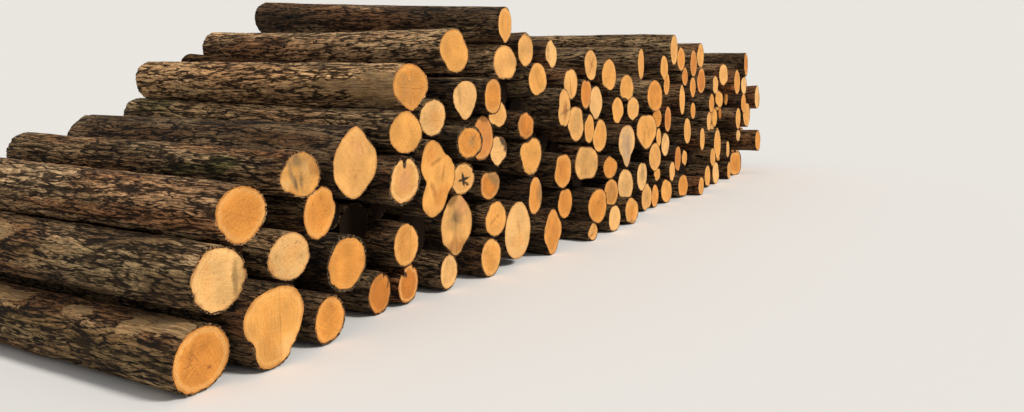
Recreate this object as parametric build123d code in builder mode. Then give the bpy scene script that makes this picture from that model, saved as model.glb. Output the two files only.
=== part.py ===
"""A heap of sawlogs, one log deep.

The logs lie along Y, and their sawn faces show on the -Y side. X runs along the heap, from its low end to its far
end, and Z is up. Every log has its own girth, outline, taper and end cuts. The heap is worked out from the ground
up: at three planes along the logs, each log takes the resting place in the stack that is nearest to where it
lies, touching two logs, or a log and the ground. So the logs come out a little crooked, as they are, and
they settle again when a size changes.
"""

from build123d import *

import math
import os
from dataclasses import dataclass

import numpy as np

# Driving dimensions in millimetres, and angles in degrees
LOG_LENGTH = 3000.0
LENGTH_SPREAD = 50.0  # a log is at most this much longer or shorter
TAPER = 8.0  # how much the diameter changes along a metre of log
BARK = 7.0  # thickness of the bark round a sawn face
SET_BACK = 260.0  # how far the hidden logs stand back from the face of the heap
INSET = 300.0  # how far inside the nominal ends the outer two planes lie in which the stack is worked out
REACH = 330.0  # how far past the nominal ends the logs are kept from cutting into each other
CLEARANCE = 0.3  # between two logs that touch
LEAST_GAP = 0.2  # the least that may be left of it between the planes where the stack is worked out
GROUND_FLAT = 0.02  # share of a ground log's height that is pressed flat
PRESSED = 2.0  # how much deeper the ground presses it flat once the heap lies on it
OVERCUT = 90.0  # how far past a slanting saw cut a log is lofted before it is sawn off
NEAR_SIDES = 18  # facets round a log of the near end
SIDES = 12  # facets round the other logs that show
INNER_SIDES = 8  # facets round the hidden logs
NEAR_END = 3500.0  # how far along the heap the near end reaches
GOLDEN = 137.5  # turn from one log's outline to the next one's

# Outlines: a circle with lobes, each given by its count, its height as a share of the radius, and its direction
ROUND = ((2, 0.025, None), (3, 0.015, None))
OVAL = ((2, 0.055, None), (3, 0.012, None))
UPRIGHT = ((2, 0.06, 90.0), (3, 0.02, None))
WIDE = ((2, 0.07, 0.0), (4, 0.02, 45.0))
PEAR = ((3, 0.07, 270.0), (2, 0.02, 60.0))
ALMOND = ((2, 0.05, 90.0), (4, 0.03, 90.0), (3, 0.02, 0.0))
SHIELD = ((3, 0.09, 0.0), (2, 0.09, 90.0))
BLOCK = ((4, 0.05, 45.0), (2, 0.05, 0.0))


@dataclass
class Log:
    """One log: where its face lies, the face's diameter, how far it stands out, and the slant of its saw cut."""

    along: float
    up: float
    across: float
    out: float = 0.0
    slant: float = 0.0
    lobes: tuple = ROUND
    butt: float = 0.0  # 1 with the thick end in front, -1 with the thick end behind, 0 for either by turns
    short: float = 0.0  # how much shorter than the others it is


def inner(along, up, across):
    """A log that the faces in front of it hide: a shorter one, set back into the heap."""
    return Log(along, up, across, -SET_BACK, short=SET_BACK)


# The logs, by node: the near end one by one, and the rest by bay and course
HEAP = {
    "corner_log": [Log(0, 200, 400, 20, -4, OVAL)],
    "corner_second_log": [Log(135, 600, 395, 0, 3)],
    "corner_third_log": [Log(283, 960, 350, 0, 10)],
    "pear_log": [Log(482, 285, 500, 100, 0, PEAR)],
    "leaning_log": [Log(700, 645, 325, -30, 8)],
    "weathered_log": [Log(755, 1130, 310, 15, 12)],
    "low_small_log": [Log(893, 170, 320, 70, -2)],
    "tucked_log": [Log(980, 866, 355, -20, -5)],
    "thick_bark_log": [Log(1244, 507, 415, 0, 0)],
    "almond_log": [Log(1306, 1200, 515, 0, -2, ALMOND)],
    "low_pair_log_1": [Log(1660, 184, 310, -80, -5)],
    "low_pair_log_2": [Log(1982, 165, 310, -55, -5)],
    "notched_log": [Log(1731, 1001, 375, 105, 1)],
    "flared_butt_log": [Log(1887, 1360, 345, 25, 8)],
    "tilted_log": [Log(1894, 491, 345, 0, -2)],
    "barked_wedge_log": [Log(1960, 1760, 370, -35, 11)],
    "recessed_log": [Log(2217, 1445, 320, -5, 8)],
    "shield_log": [Log(2224, 965, 560, 85, -2, SHIELD)],
    "leading_top_log": [Log(2570, 1992, 375, 0, 8)],
    "pale_low_log": [Log(2595, 159, 305, -10, -4)],
    "cracked_log": [Log(2670, 915, 290, 15, 12)],
    "stained_log": [Log(2693, 1236, 305, 70, 12)],
    "pointed_log": [Log(2724, 1598, 345, 0, 5, PEAR)],
    "spotted_log": [Log(2831, 544, 515, -110, 1, ALMOND)],
    "bay_1_inner": [
        inner(1275, 150, 280),
        inner(2245, 105, 190),
        inner(910, 450, 200),
        inner(1540, 420, 160),
        inner(2320, 450, 420),
        inner(430, 705, 190),
        inner(1585, 675, 310),
        inner(1885, 765, 165),
        inner(1345, 825, 200),
        inner(610, 900, 175),
        inner(2500, 1425, 190),
        inner(2410, 1695, 260),
    ],
    "bay_2_ground": [Log(3050, 159, 340, 50, 2), Log(4200, 235, 440, 110, -2, ALMOND)],
    "bay_2_second": [
        Log(3276, 471, 340, 15, 4),
        Log(3620, 340, 515, 30, 1, UPRIGHT),
        Log(3930, 613, 355, 40, -4, UPRIGHT),
    ],
    "bay_2_third": [
        Log(3060, 1229, 400, -35, -2, UPRIGHT),
        Log(3169, 791, 275, -20, 8),
        Log(3399, 1106, 290, -70, 2),
        Log(3943, 1011, 380, -10, 8, PEAR),
    ],
    "bay_2_fourth": [
        Log(3106, 1647, 320, 50, 0),
        Log(3333, 1442, 265, -45, 10),
        Log(3808, 1322, 275, 5, 7),
        Log(4094, 1770, 330, 0, 7),
    ],
    "bay_2_top": [
        Log(3391, 1926, 330, 0, 11),
        Log(3409, 2275, 345, 0, -9),
        Log(3809, 2107, 340, 0, -2),
        Log(4363, 2081, 295, 0, -3),
    ],
    "bay_2_inner": [
        inner(3330, 110, 190),
        inner(3910, 110, 170),
        inner(4600, 165, 300),
        inner(4315, 660, 370),
        inner(2515, 720, 165),
        inner(3565, 795, 385),
        inner(2935, 930, 200),
        inner(4360, 1110, 420),
        inner(3655, 1125, 195),
        inner(3550, 1320, 205),
        inner(4120, 1425, 330),
        inner(3370, 1665, 160),
        inner(3700, 1680, 430),
        inner(4405, 1785, 260),
    ],
    "bay_3_ground": [
        Log(5020, 109, 205, 180, 8),
        Log(5645, 168, 325, 180, 2),
        Log(6201, 173, 335, 180, 7),
    ],
    "bay_3_second": [
        Log(4697, 474, 320, 0, 4),
        Log(5325, 347, 395, 105, 10),
        Log(5948, 403, 345, 15, 8),
        Log(6504, 427, 420, 0, 6),
    ],
    "bay_3_third": [
        Log(4667, 839, 365, 0, 6),
        Log(5264, 832, 450, 0, 11, BLOCK),
        Log(5856, 716, 285, 45, 12),
        Log(6497, 968, 535, 0, 1, PEAR),
    ],
    "bay_3_fourth": [
        Log(4950, 1290, 390, 0, 4),
        Log(5328, 1235, 325, 0, -3),
        Log(5680, 1089, 395, -20, 1),
        Log(6193, 1380, 330, 0, 4),
    ],
    "bay_3_fifth": [
        Log(4576, 1479, 400, 25, -5, UPRIGHT),
        Log(5245, 1610, 350, 0, -3),
        Log(5617, 1496, 395, -40, -1),
    ],
    "bay_3_top": [
        Log(4890, 1722, 360, -30, 0),
        Log(5395, 1940, 345, -5, 2),
        Log(5920, 1844, 390, 0, 5),
        Log(6479, 1681, 350, 0, 8),
    ],
    "bay_3_inner": [
        inner(5920, 120, 195),
        inner(6475, 105, 190),
        inner(4915, 300, 205),
        inner(5020, 540, 285),
        inner(5575, 600, 290),
        inner(6175, 660, 315),
        inner(4945, 975, 210),
        inner(6055, 1050, 335),
        inner(4690, 1140, 180),
        inner(5905, 1335, 220),
        inner(6475, 1350, 200),
        inner(5980, 1545, 180),
    ],
    "bay_4_ground": [
        Log(7280, 237, 380, -15, 1),
        Log(7644, 174, 335, -25, -2),
        Log(8063, 186, 355, -10, 7),
    ],
    "bay_4_second": [
        Log(7003, 580, 390, 0, 0),
        Log(7701, 488, 200, 0, 8),
        Log(8262, 479, 300, 15, -2),
    ],
    "bay_4_third": [
        Log(7493, 708, 390, 30, 5),
        Log(7703, 989, 275, 0, -4),
        Log(8018, 843, 340, 0, 1),
    ],
    "bay_4_fourth": [
        Log(6744, 1397, 320, 0, 7),
        Log(7200, 1078, 525, 15, 9, WIDE),
        Log(7705, 1290, 265, -15, 10),
        Log(8084, 1241, 370, 0, -3),
    ],
    "bay_4_top": [
        Log(7022, 2017, 415, 0, -9, UPRIGHT),
        Log(7506, 1604, 445, 30, 9),
        Log(7930, 1955, 350, 5, 0),
        Log(8232, 1758, 335, -50, -3),
        Log(8333, 2250, 430, 10, -3, UPRIGHT),
    ],
    "bay_4_inner": [
        inner(6850, 195, 360),
        inner(8440, 180, 340),
        inner(7510, 405, 160),
        inner(7960, 525, 280),
        inner(6715, 660, 180),
        inner(7795, 705, 155),
        inner(8305, 765, 225),
        inner(6880, 870, 220),
        inner(6835, 1140, 190),
        inner(7480, 1290, 145),
        inner(7915, 1575, 340),
        inner(7060, 1590, 395),
    ],
    "bay_5_ground": [
        Log(8812, 193, 365, 20, 6),
        Log(9197, 155, 290, 180, 1),
        Log(10130, 199, 375, 20, -1),
    ],
    "bay_5_second": [
        Log(8606, 611, 395, 0, -5),
        Log(8954, 605, 260, -15, 0),
        Log(10460, 489, 320, 15, 0),
    ],
    "bay_5_third": [
        Log(9098, 1029, 395, 0, -1),
        Log(9865, 838, 370, 0, -3),
        Log(10305, 1079, 330, 0, -4),
    ],
    "bay_5_fourth": [
        Log(8838, 1518, 440, 0, -6, UPRIGHT),
        Log(9320, 1347, 265, 0, 0),
        Log(9352, 1669, 325, 0, 0),
        Log(9780, 1797, 415, 10, 2),
        Log(10478, 1446, 335, 0, -1),
    ],
    "bay_5_top": [
        Log(8728, 2129, 355, 0, 2),
        Log(8990, 1899, 275, 0, 2),
        Log(9400, 2126, 420, 0, -2),
        Log(9913, 2207, 405, -35, 0),
        Log(10655, 1769, 305, 0, 4),
    ],
    "bay_5_inner": [
        inner(9800, 150, 290),
        inner(9480, 170, 300),
        inner(9130, 430, 230),
        inner(9650, 470, 345),
        inner(10045, 510, 200),
        inner(9250, 690, 290),
        inner(10225, 735, 330),
        inner(8830, 840, 215),
        inner(8420, 1010, 320),
        inner(9520, 1035, 390),
        inner(8680, 1200, 240),
        inner(9890, 1270, 440),
        inner(9550, 1470, 205),
        inner(8440, 1515, 280),
        inner(8575, 1815, 315),
        inner(10090, 1680, 225),
    ],
    "bay_6_ground": [
        Log(10707, 206, 390, 5, 2),
        Log(11477, 190, 320, 20, -2),
        Log(12231, 264, 500, -30, 11, BLOCK),
    ],
    "bay_6_second": [
        Log(10969, 748, 490, 0, -1, UPRIGHT),
        Log(11500, 520, 310, 0, -4),
        Log(12600, 640, 390, 300, 2),
    ],
    "bay_6_third": [
        Log(12295, 757, 225, 0, 8),
        Log(12295, 1113, 410, 0, -1),
        Log(13187, 1142, 520, -35, 2),
    ],
    "bay_6_fourth": [
        Log(10955, 1530, 320, 0, 8, BLOCK),
        Log(12737, 1337, 385, 0, 1),
        Log(13600, 1500, 460, 90, 0),
    ],
    "bay_6_top": [
        Log(11233, 1896, 390, 0, 8),
        Log(12194, 1794, 470, 0, 0),
        Log(12879, 1700, 350, -25, 6),
        Log(12943, 2130, 445, 0, -3, UPRIGHT),
    ],
    "bay_6_inner": [
        inner(11064, 150, 290),
        inner(11830, 150, 290),
        inner(10420, 110, 190),
        inner(12740, 215, 400),
        inner(13130, 175, 320),
        inner(13500, 190, 340),
        inner(11850, 480, 330),
        inner(12960, 520, 340),
        inner(13330, 500, 320),
        inner(13700, 560, 400),
        inner(10540, 840, 290),
        inner(11420, 830, 300),
        inner(11800, 820, 320),
        inner(12850, 860, 280),
        inner(13560, 930, 330),
        inner(10780, 1200, 390),
        inner(11250, 1180, 360),
        inner(11620, 1130, 350),
        inner(11960, 1150, 220),
        inner(11450, 1520, 350),
        inner(11850, 1440, 400),
        inner(12400, 1455, 270),
    ],
}

STATIONS = (INSET - LOG_LENGTH / 2, 0.0, LOG_LENGTH / 2 - INSET)
TOUCH = 1e-4
LEAST_LIFT = 0.3  # upward share of the push of a log that another one leans on
LEAN_COST = (30.0, 5.0, 5.0)  # at each station, how much further a firm resting place may be than a leaning one
LONE_COST = 250.0  # how much further a place beside a neighbour may be than one on the ground that touches none
SEARCH = 300.0  # how far from a log's place its neighbours are looked for
TRIES = 10  # times a log is set down again, a little further off what it still cuts into


def outline(lobes, sides, turn, flat):
    """Corners of a log's outline, counterclockwise, for a mean radius of 1: a circle swollen by its lobes."""
    angle = np.radians(270.0 + (np.arange(sides) + 0.5) * 360.0 / sides)
    radius = np.ones(sides)
    for count, height, direction in lobes:
        heading = math.radians(turn if direction is None else direction)
        radius += height * np.cos(count * (angle - heading))
    corners = np.stack([radius * np.cos(angle), radius * np.sin(angle)], axis=1)
    if flat:
        floor = np.sort(corners[:, 1])[1] + GROUND_FLAT
        corners[:, 1] = np.maximum(corners[:, 1], floor)
    return corners


def facing(corners):
    """Outward normals of the sides of a counterclockwise outline."""
    side = np.roll(corners, -1, axis=0) - corners
    normal = np.stack([side[:, 1], -side[:, 0]], axis=1)
    length = np.hypot(normal[:, 0], normal[:, 1])
    return normal[length > TOUCH] / length[length > TOUCH, None]


def barred(still, moving, gap):
    """The region that keeps a moving outline's centre off a still outline: its side normals and their reach."""
    normal = np.vstack([facing(still), -facing(moving)])
    turn = np.round(np.arctan2(normal[:, 1], normal[:, 0]) / (2 * math.pi) % 1.0, 7) % 1.0
    normal = normal[np.unique(turn, return_index=True)[1]]
    reach = (still @ normal.T).max(axis=0) + (-moving @ normal.T).max(axis=0) + gap
    return normal, reach


def corners_of(normal, reach):
    """Corners of a region, each where one side meets the next."""
    following, next_reach = np.roll(normal, -1, axis=0), np.roll(reach, -1)
    cross = normal[:, 0] * following[:, 1] - normal[:, 1] * following[:, 0]
    x = (reach * following[:, 1] - next_reach * normal[:, 1]) / cross
    z = (next_reach * normal[:, 0] - reach * following[:, 0]) / cross
    return np.stack([x, z], axis=1)


def crossings(first, second):
    """Points where the sides of one closed outline cross those of another."""
    a, b = first, second
    da, db = np.roll(a, -1, axis=0) - a, np.roll(b, -1, axis=0) - b
    offset = b[None] - a[:, None]
    cross = da[:, None, 0] * db[None, :, 1] - da[:, None, 1] * db[None, :, 0]
    cross = np.where(np.abs(cross) < 1e-12, np.nan, cross)
    s = (offset[..., 0] * db[None, :, 1] - offset[..., 1] * db[None, :, 0]) / cross
    t = (offset[..., 0] * da[:, None, 1] - offset[..., 1] * da[:, None, 0]) / cross
    i, j = np.nonzero((s >= 0) & (s <= 1) & (t >= 0) & (t <= 1))
    return a[i] + da[i] * s[i, j][:, None]


def nearest_on(rim, wanted):
    """Points of a closed outline's sides that lie nearest to where a log is wanted, one a side."""
    side = np.roll(rim, -1, axis=0) - rim
    share = ((wanted - rim) * side).sum(axis=1) / (side**2).sum(axis=1)
    return rim + side * np.clip(share, 0.0, 1.0)[:, None]


def resting_place(regions, ground, wanted, lean_cost):
    """The place nearest to where a log is wanted in which it rests on two logs, or on the ground, or leans on one."""
    found = [np.array([[wanted[0], ground]])]
    rims = [corners_of(*region) for region in regions]
    for i, rim in enumerate(rims):
        span = np.array([[rim[:, 0].min() - 1, ground], [rim[:, 0].max() + 1, ground]])
        found.extend([crossings(rim, span), nearest_on(rim, wanted)])
        found.extend(crossings(rim, other) for other in rims[i + 1 :])
    places = np.vstack(found)
    held = places[:, 1] <= ground + TOUCH
    free = places[:, 1] >= ground - TOUCH
    leaning = np.zeros(len(places), dtype=bool)
    touching = np.zeros(len(places), dtype=bool)
    pushes = []
    for normal, reach in regions:
        depth = places @ normal.T - reach
        free &= depth.max(axis=1) >= -TOUCH
        touching |= depth.max(axis=1) <= TOUCH
        push = normal[depth.argmax(axis=1)]
        push[depth.max(axis=1) > TOUCH] = (0.0, -1.0)
        leaning |= push[:, 1] > LEAST_LIFT
        pushes.append(push)
    for i, one in enumerate(pushes):
        for two in pushes[i + 1 :]:
            opposed = one[:, 0] * two[:, 0] < 0
            lift = one[:, 1] * np.abs(two[:, 0]) + two[:, 1] * np.abs(one[:, 0])
            held |= opposed & (lift > 0)
    far = np.hypot(*(places - wanted).T) + np.where(held, 0.0, lean_cost) + np.where(touching, 0.0, LONE_COST)
    far[~(free & (held | leaning))] = np.inf
    return places[np.argmin(far)]


def settled(shape, scale, start, placed, extra):
    """Where a log lies at each station: the nearest resting place to where it lay at the station before."""
    wanted, centres = np.array(start, dtype=float), []
    for k, lean_cost in enumerate(LEAN_COST):
        moving = shape * scale[k]
        regions = []
        for i, other in enumerate(placed):
            if math.dist(other["centre"][k], wanted) < other["scale"][k] + scale[k] + SEARCH:
                room = extra[i][k] if i in extra else 0.0
                regions.append(barred(other["corners"][k], moving, CLEARANCE + room))
        wanted = resting_place(regions, -moving[:, 1].min(), wanted, lean_cost)
        centres.append(wanted)
    return np.array(centres)


def closest(one, two):
    """The smallest gap between two logs, and how near it lies to each of the three planes, as shares."""
    normal = np.vstack([facing(one["shape"]), -facing(two["shape"])])
    reach_one, reach_two = (one["shape"] @ normal.T).max(axis=0), (-two["shape"] @ normal.T).max(axis=0)
    past = (INSET + REACH) / (STATIONS[2] - STATIONS[1])
    least, where = math.inf, None
    for k, share in enumerate((np.linspace(-past, 1.0, 25), np.linspace(0.0, 1.0 + past, 25))):
        start = (two["centre"][k] - one["centre"][k]) @ normal.T
        end = (two["centre"][k + 1] - one["centre"][k + 1]) @ normal.T
        start = start - one["scale"][k] * reach_one - two["scale"][k] * reach_two
        end = end - one["scale"][k + 1] * reach_one - two["scale"][k + 1] * reach_two
        gaps = ((1 - share)[:, None] * start + share[:, None] * end).max(axis=1)
        nearest = gaps.argmin()
        if gaps[nearest] < least:
            least, where = gaps[nearest], np.zeros(len(STATIONS))
            where[[k, k + 1]] = np.clip([1 - share[nearest], share[nearest]], 0.0, 1.0)
    return least, where


def settle_heap(heap):
    """Stacks the logs from the lowest up, and gives each one its outline, its centres and its radii."""
    rows = [(node, log) for node, logs in heap.items() for log in logs]
    placed = []
    for index in sorted(range(len(rows)), key=lambda i: rows[i][1].up):
        node, log = rows[index]
        butt = log.butt or (-1.0 if index % 3 else 1.0)
        on_ground = log.up < log.across * 0.62
        sides = INNER_SIDES if log.short else NEAR_SIDES if log.along < NEAR_END else SIDES
        shape = outline(log.lobes, sides, index * GOLDEN, on_ground)
        front = log.across / 2 + BARK
        scale = np.array([front - butt * TAPER * (y + LOG_LENGTH / 2) / 2000.0 for y in STATIONS])
        extra = {}
        for _ in range(TRIES):
            centre = settled(shape, scale, (log.along, log.up), placed, extra)
            found = {
                "node": node,
                "log": log,
                "index": index,
                "shape": shape,
                "scale": scale,
                "centre": centre,
                "corners": [centre[k] + shape * scale[k] for k in range(len(STATIONS))],
            }
            short = {}
            for i, other in enumerate(placed):
                if math.dist(other["centre"][0], centre[0]) < other["scale"][0] + scale[0] + SEARCH:
                    gap, where = closest(other, found)
                    if gap < LEAST_GAP:
                        short[i] = (CLEARANCE - gap) * where / (where**2).sum()
            if not short:
                break
            for i, lack in short.items():
                extra[i] = extra.get(i, 0.0) + lack
        placed.append(found)
    return placed


def ring_at(found, y):
    """Corners of a log's outline at a depth, in line with the two nearest planes of the stack."""
    k = 0 if y < STATIONS[1] else 1
    share = (y - STATIONS[k]) / (STATIONS[k + 1] - STATIONS[k])
    return (1 - share) * found["corners"][k] + share * found["corners"][k + 1]


def log_part(found):
    """One log with flat facets: lofted past its front, sawn off there at its slant, and pressed flat on the ground."""
    log = found["log"]
    tilt = math.tan(math.radians(log.slant))
    front = -LOG_LENGTH / 2 - log.out
    back = front + LOG_LENGTH - log.short + LENGTH_SPREAD * math.sin(2.4 * found["index"])
    depths = (front - OVERCUT if log.slant else front, STATIONS[1], back)
    outlines = [ring_at(found, y) for y in depths]
    middle = ring_at(found, front).mean(axis=0)
    with BuildPart() as piece:
        for y, corners in zip(depths, outlines):
            with BuildSketch(Plane.XZ.offset(-y)):
                with BuildLine():
                    Polyline(*corners, close=True)
                make_face()
        loft(ruled=True, clean=False)
        if log.slant:
            saw = Plane(origin=(middle[0], front, middle[1]), x_dir=(1, -tilt, 0), z_dir=(-tilt, -1, 0))
            split(bisect_by=saw, keep=Keep.BOTTOM)
        if min(corners[:, 1].min() for corners in outlines) < PRESSED:
            split(bisect_by=Plane.XY.offset(PRESSED), keep=Keep.TOP)
    piece.part.label = "log"
    return piece.part


# Build
os.makedirs("parts", exist_ok=True)
heap = {node: [] for node in HEAP}
for found in settle_heap(HEAP):
    heap[found["node"]].append(log_part(found))
corners = np.array([[*corner] for logs in heap.values() for log in logs for corner in log.vertices()])
low, high = corners.min(axis=0), corners.max(axis=0)
home = Location((-(low[0] + high[0]) / 2, -(low[1] + high[1]) / 2, -low[2]))
for node, logs in heap.items():
    group = Compound(label=node, children=[log.moved(home) for log in logs])
    export_step(group, f"parts/{node}.step")
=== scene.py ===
"""A heap of sawlogs with furrowed bark and fresh sawn faces.

Each log is one closed surface: a grid of rows round its own line. The rows start at the pith of the front
face, go out to the bark, along the log and in again to the pith of the back face. A point of the side lies at

    centre(y) + radius(y, angle) * (cos angle, sin angle)

where centre and radius are parabolas in y through three slices of the frame's own log, and the radius of a
slice is a sum of a few waves in the angle. Furrows, dents, lumps and peeled patches are taken off it.
"""

import math

import bpy
import numpy as np
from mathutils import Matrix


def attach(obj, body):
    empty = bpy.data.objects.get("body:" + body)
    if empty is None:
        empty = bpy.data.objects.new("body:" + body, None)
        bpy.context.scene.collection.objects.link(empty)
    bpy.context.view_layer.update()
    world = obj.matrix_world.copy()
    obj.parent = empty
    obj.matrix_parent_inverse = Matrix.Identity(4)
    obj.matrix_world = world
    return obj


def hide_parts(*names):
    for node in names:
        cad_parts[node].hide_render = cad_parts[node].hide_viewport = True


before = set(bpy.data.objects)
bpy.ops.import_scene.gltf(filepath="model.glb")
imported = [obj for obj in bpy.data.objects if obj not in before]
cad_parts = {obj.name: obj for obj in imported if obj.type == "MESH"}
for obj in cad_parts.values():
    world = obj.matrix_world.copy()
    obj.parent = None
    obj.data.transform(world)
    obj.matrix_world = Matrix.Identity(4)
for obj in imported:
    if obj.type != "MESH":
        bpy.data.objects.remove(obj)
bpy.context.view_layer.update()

# Reading the logs off the frame
WELD = 1e-5  # corners of a mesh that are this close are one
INSET = 0.02  # how far inside the sawn ends the outer slices lie
WAVES = 5  # waves kept of an outline
NEAR_WAVES = 8  # the same in the near end, whose outlines show their corners
SLICE_ANGLES = 180  # places round a slice where its radius is read

# Sides of a log, in metres
BARK_THICKNESS = 0.012
FURROW_DEPTH = 0.013
PEEL_DEPTH = 0.008  # how far bare wood lies under the bark
LUMPS = 0.011  # how far the hollows of a log's uneven side lie in
CLEARANCE = 0.0005  # least height above the ground
ROW_CROWDING = 1.25  # above 1, rows along a log lie closer together near its front

# Sawn faces
RING_WIDTH = 0.0052
PITH_RANGE = 0.16  # width of the range that a pith lies in, in shares of the radius
RING_CROWDING = 0.85  # below 1, rows across a face lie closer together near the bark
RIM_ROWS = 2  # rows of bark round the wood of a face
RIM_STEP = 0.001  # from the wood's edge to the first of them, and how far they lie behind the cut at least
LEAST_BARK = 0.002  # from the wood's edge to the bark's surface
RAGGED = 0.006  # how much deeper the torn bark lies in places
LIP_RELIEF = 0.6  # height of the bark's relief on the rims, from 0 to 1
SHARP_EDGE = 50  # degrees between two faces of the mesh from which their edge is sharp
SECTORS = 15.0  # parts of a face round its pith, each with one check at most

# Factors and bits that stir whole numbers into unlike ones
STIR_X, STIR_Y, STIR_Z, STIR_ALL = (np.uint32(n) for n in (374761393, 668265263, 2246822519, 1274126177))
LOW_BITS = 0xFFFF

# Grid of a log: places round it, rows along it, rows across its front and its back face, and the logs of the
# near end whose whole side shows
FINEST = (200, 120, 26, 5)
FINE = (96, 44, 22, 4)
PLAIN = (54, 14, 8, 3)
HIDDEN = (24, 6, 3, 2)
SIDES_IN_VIEW = (
    "corner_log", "corner_second_log", "corner_third_log",
    "weathered_log", "flared_butt_log", "barked_wedge_log",
)

# Colours of sawn wood, linear
CREAM = (0.78, 0.44, 0.155)
BUFF = (0.76, 0.385, 0.11)
STRAW = (0.74, 0.345, 0.078)
HONEY = (0.7, 0.285, 0.05)
AMBER = (0.58, 0.205, 0.03)
RUST = (0.3, 0.105, 0.022)
ROSE = (0.56, 0.25, 0.1)
DRAB = (0.38, 0.22, 0.075)
GREY = (0.25, 0.152, 0.058)
UMBER = (0.085, 0.05, 0.026)
MAUVE = (0.46, 0.3, 0.165)
BLACK = (0.015, 0.01, 0.007)
# Painted shade: the near black of the faces that lie in the heap's gaps
GAP_SHADE_WOOD = (0.014, 0.008, 0.005)

# Colours of bark, linear
BARK_GREY = (0.17, 0.106, 0.053)
BARK_BROWN = (0.128, 0.078, 0.037)
BARK_SILVER = (0.43, 0.295, 0.16)
BARK_RED = (0.2, 0.085, 0.033)
BARK_DARK = (0.08, 0.046, 0.023)
BARK_PALE = (0.28, 0.172, 0.09)
BARK_TAN = (0.36, 0.215, 0.105)
MOSS = (0.082, 0.07, 0.022)
TAN = (0.55, 0.33, 0.145)


def smooth(low, high, value):
    """0 below low, 1 above high, and an S-shaped rise between them."""
    share = np.clip((value - low) / (high - low), 0.0, 1.0)
    return share * share * (3.0 - 2.0 * share)


def lattice(x, y, z):
    """A number from 0 to 1 for each whole-numbered point, always the same for the same point."""
    n = (x.astype(np.uint32) * STIR_X) ^ (y.astype(np.uint32) * STIR_Y)
    n ^= z.astype(np.uint32) * STIR_Z
    n = (n ^ (n >> np.uint32(13))) * STIR_ALL
    n ^= n >> np.uint32(16)
    return (n & np.uint32(LOW_BITS)).astype(float) / LOW_BITS


def noise(points):
    """Smooth noise from 0 to 1: the lattice's numbers blended between the eight corners round each point."""
    cell = np.floor(points)
    part = points - cell
    part = part * part * (3.0 - 2.0 * part)
    x, y, z = (cell[..., k].astype(np.int64) for k in range(3))
    total = np.zeros(points.shape[:-1])
    for dx in (0, 1):
        for dy in (0, 1):
            level = np.abs(1 - dx - part[..., 0]) * np.abs(1 - dy - part[..., 1])
            for dz in (0, 1):
                total += level * np.abs(1 - dz - part[..., 2]) * lattice(x + dx, y + dy, z + dz)
    return total


def drawn_noise(points, across, along, shift):
    """Smooth noise drawn out along Y, with its steps to a metre across the log and along it."""
    return noise(points * np.array([across, along, across]) + shift)


def level_noise(flat, scale, number):
    """Smooth noise over the points of a plane, with its steps to a metre and each log's own number."""
    return noise(np.concatenate([flat * scale, np.full((*flat.shape[:-1], 1), number)], axis=-1))


def ridges(value):
    """1 along the crests of smooth noise and 0 in its folds, so that it makes a net of furrows."""
    return np.clip(np.abs(2.0 * value - 1.0) * 2.2, 0.0, 1.0)


def merged(mesh):
    """Corners and triangles of a frame mesh, with the corners that lie in one place made one."""
    count = len(mesh.vertices)
    corners = np.empty(count * 3, np.float32)
    mesh.vertices.foreach_get("co", corners)
    mesh.calc_loop_triangles()
    triangles = np.empty(len(mesh.loop_triangles) * 3, np.int32)
    mesh.loop_triangles.foreach_get("vertices", triangles)
    corners = corners.reshape(-1, 3).astype(float)
    spots = np.round(corners / WELD).astype(np.int64)
    _, first, same = np.unique(spots, axis=0, return_index=True, return_inverse=True)
    return corners[first], same.ravel()[triangles.reshape(-1, 3)]


def separate(corners, triangles):
    """Splits the triangles of a node into its logs: each corner takes the lowest number that reaches it."""
    label = np.arange(len(corners))
    while True:
        lowest = label[triangles].min(axis=1)
        following = label.copy()
        for k in range(3):
            np.minimum.at(following, triangles[:, k], lowest)
        if (following == label).all():
            break
        label = following
    owner = label[triangles[:, 0]]
    return [triangles[owner == name] for name in np.unique(owner)]


def slice_waves(corners, triangles, y, waves):
    """Centre of a log's slice at a depth, and the waves that make up its radius there."""
    crossing = []
    for a, b in ((0, 1), (1, 2), (2, 0)):
        start, end = corners[triangles[:, a]], corners[triangles[:, b]]
        cut = (start[:, 1] - y) * (end[:, 1] - y) < 0
        share = (y - start[cut, 1]) / (end[cut, 1] - start[cut, 1])
        crossing.append(start[cut] + (end[cut] - start[cut]) * share[:, None])
    rim = np.vstack(crossing)[:, [0, 2]]
    centre = (rim.max(axis=0) + rim.min(axis=0)) / 2
    angles = np.arange(SLICE_ANGLES) * 2 * math.pi / SLICE_ANGLES

    def radius_round(middle):
        """Radius of the slice at even angles round a middle."""
        offset = rim - middle
        turn = np.arctan2(offset[:, 1], offset[:, 0])
        order = np.argsort(turn)
        return np.interp(angles, turn[order], np.hypot(*offset[order].T), period=2 * math.pi)

    for _ in range(2):
        outline = centre + radius_round(centre)[:, None] * np.stack([np.cos(angles), np.sin(angles)], axis=1)
        centre = outline.mean(axis=0)
    return centre, np.fft.rfft(radius_round(centre))[: waves + 1] / SLICE_ANGLES


def end_plane(corners, triangles, side):
    """A point and the outward direction of a log's sawn face, from its triangles that look along Y."""
    a, b, c = (corners[triangles[:, k]] for k in range(3))
    area = np.cross(b - a, c - a)
    size = np.linalg.norm(area, axis=1)
    flat = (area[:, 1] * side > 0.9 * size) & (size > 1e-9)
    normal = area[flat].sum(axis=0)
    middle = ((a + b + c)[flat] * size[flat, None]).sum(axis=0) / size[flat].sum() / 3
    return middle, normal / np.linalg.norm(normal)


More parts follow.
